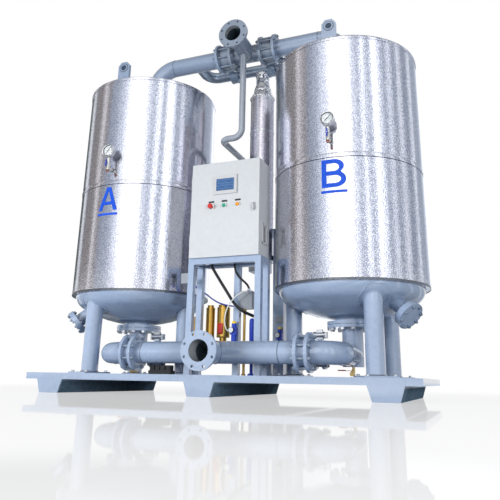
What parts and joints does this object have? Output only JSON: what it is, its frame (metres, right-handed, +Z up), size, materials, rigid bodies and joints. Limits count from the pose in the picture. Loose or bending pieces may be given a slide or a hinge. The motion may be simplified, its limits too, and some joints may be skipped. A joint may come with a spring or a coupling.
{
  "type": "desiccant air dryer",
  "caption": "Twin-tower desiccant air dryer on a skid with clad pressure vessels, flanged inlet and outlet headers, switching valves, regeneration heater and control cabinet.",
  "frame": {"origin": "on the floor under the middle of the skid", "axes": "+X along the skid from tower A to tower B, +Y from the control cabinet's front to the back, +Z up"},
  "size_m": [3.2378, 1.637, 3.3705],
  "materials": {
    "paint": "glossy blue-grey paint",
    "cladding": "stucco embossed aluminium sheet",
    "wool": "mineral wool",
    "beads": "packed desiccant beads",
    "steel": "plain steel",
    "gasket": "dark sheet gasket",
    "anodised": "anodised",
    "brass": "yellow metal",
    "red_plastic": "glossy",
    "blue_plastic": "glossy",
    "green_plastic": "glossy",
    "amber_plastic": "glossy",
    "grey_plastic": "fine grain",
    "black_plastic": "fine grain",
    "fastener": "zinc plated",
    "cabinet_paint": "light grey powder coat",
    "black_rubber": "ribbed conduit",
    "blue_rubber": "smooth tube"
  },
  "bodies": {
    "frame": {"skid_frame": "paint", "skid_feet": "paint", "vessel_a": "paint", "vessel_b": "paint", "vessel_legs": "paint", "jackets_lower": "cladding", "jackets_upper": "cladding", "jacket_caps": "cladding", "insulation": "wool", "desiccant_beds": "beads", "bed_supports": "steel", "closure_gaskets": "gasket", "inlet_header": "paint", "inlet_valves": "paint", "inlet_riser_a": "paint", "inlet_riser_b": "paint", "exhaust_manifold": "paint", "exhaust_valves": "paint", "actuators": "anodised", "silencers": "brass", "drain_valves": "brass", "outlet_header": "paint", "outlet_pipe_a": "paint", "outlet_pipe_b": "paint", "check_valves": "paint", "regen_manifold": "cladding", "heater_casing": "cladding", "heater_elements": "steel", "heater_post": "paint", "purge_pipe": "paint", "gauges": "steel", "gauge_cocks": "brass", "port_covers": "paint", "closure_bolts": "fastener", "flange_studs": "fastener", "port_bolts": "fastener", "cabinet_shell": "cabinet_paint", "cabinet_stand": "paint", "mounting_plate": "fastener", "solenoid_block": "black_plastic", "air_regulators": "blue_plastic", "junction_boxes": "grey_plastic", "conduit": "black_rubber", "air_tube": "blue_rubber"},
    "door": {"cabinet_door": "cabinet_paint", "screen_panel": "grey_plastic", "signal_lamp": "amber_plastic"},
    "lock": {"door_lock": "steel"},
    "estop": {"estop_button": "red_plastic"},
    "pushbutton": {"push_button": "green_plastic"},
    "inlet_butterfly_a": {"inlet_disc_a": "steel"},
    "inlet_butterfly_b": {"inlet_disc_b": "steel"},
    "exhaust_butterfly_a": {"exhaust_disc_a": "steel"},
    "exhaust_butterfly_b": {"exhaust_disc_b": "steel"},
    "check_plate_a": {"check_disc_a": "steel"},
    "check_plate_b": {"check_disc_b": "steel"},
    "drain_handle_a": {"drain_lever_a": "red_plastic"},
    "drain_handle_b": {"drain_lever_b": "red_plastic"},
    "cock_handle_a": {"gauge_handle_a": "blue_plastic"},
    "cock_handle_b": {"gauge_handle_b": "blue_plastic"}
  },
  "joints": [
    {"name": "cabinet_door_hinge", "type": "hinge", "parent": "frame", "child": "door", "pos_m": [-0.257, -0.498, 1.493], "axis": [0, 0, -1], "range_deg": [0, 110]},
    {"name": "door_lock_turn", "type": "hinge", "parent": "door", "child": "lock", "pos_m": [0.316, -0.515, 1.483], "axis": [0, 1, 0], "range_deg": [0, 90]},
    {"name": "estop_press", "type": "slide", "parent": "door", "child": "estop", "axis": [0, 1, 0], "range_m": [0, 0.005], "stiffness_N_per_m": 1500},
    {"name": "push_button_press", "type": "slide", "parent": "door", "child": "pushbutton", "axis": [0, 1, 0], "range_m": [0, 0.004], "stiffness_N_per_m": 800},
    {"name": "inlet_valve_turn_a", "type": "hinge", "parent": "frame", "child": "inlet_butterfly_a", "pos_m": [-0.678, -0.58, 0.322], "axis": [0, 1, 0], "range_deg": [0, 90]},
    {"name": "inlet_valve_turn_b", "type": "hinge", "parent": "frame", "child": "inlet_butterfly_b", "pos_m": [0.758, -0.58, 0.322], "axis": [0, 1, 0], "range_deg": [0, 90]},
    {"name": "exhaust_valve_turn_a", "type": "hinge", "parent": "frame", "child": "exhaust_butterfly_a", "pos_m": [-0.69, -0.19, 0.322], "axis": [0, 0, 1], "range_deg": [0, 90]},
    {"name": "exhaust_valve_turn_b", "type": "hinge", "parent": "frame", "child": "exhaust_butterfly_b", "pos_m": [0.77, -0.19, 0.322], "axis": [0, 0, 1], "range_deg": [0, 90]},
    {"name": "check_lift_a", "type": "slide", "parent": "frame", "child": "check_plate_a", "axis": [1, 0, 0], "range_m": [0, 0.02], "stiffness_N_per_m": 400},
    {"name": "check_lift_b", "type": "slide", "parent": "frame", "child": "check_plate_b", "axis": [-1, 0, 0], "range_m": [0, 0.02], "stiffness_N_per_m": 400},
    {"name": "drain_lever_turn_a", "type": "hinge", "parent": "frame", "child": "drain_handle_a", "pos_m": [-0.995, -0.08, 0.204], "axis": [0, 0, 1], "range_deg": [0, 90]},
    {"name": "drain_lever_turn_b", "type": "hinge", "parent": "frame", "child": "drain_handle_b", "pos_m": [0.995, -0.08, 0.204], "axis": [0, 0, 1], "range_deg": [0, 90]},
    {"name": "gauge_cock_turn_a", "type": "hinge", "parent": "frame", "child": "cock_handle_a", "pos_m": [-0.995, -0.742, 1.94], "axis": [0, 1, 0], "range_deg": [0, 90]},
    {"name": "gauge_cock_turn_b", "type": "hinge", "parent": "frame", "child": "cock_handle_b", "pos_m": [0.995, -0.742, 1.94], "axis": [0, 1, 0], "range_deg": [0, 90]}
  ]
}
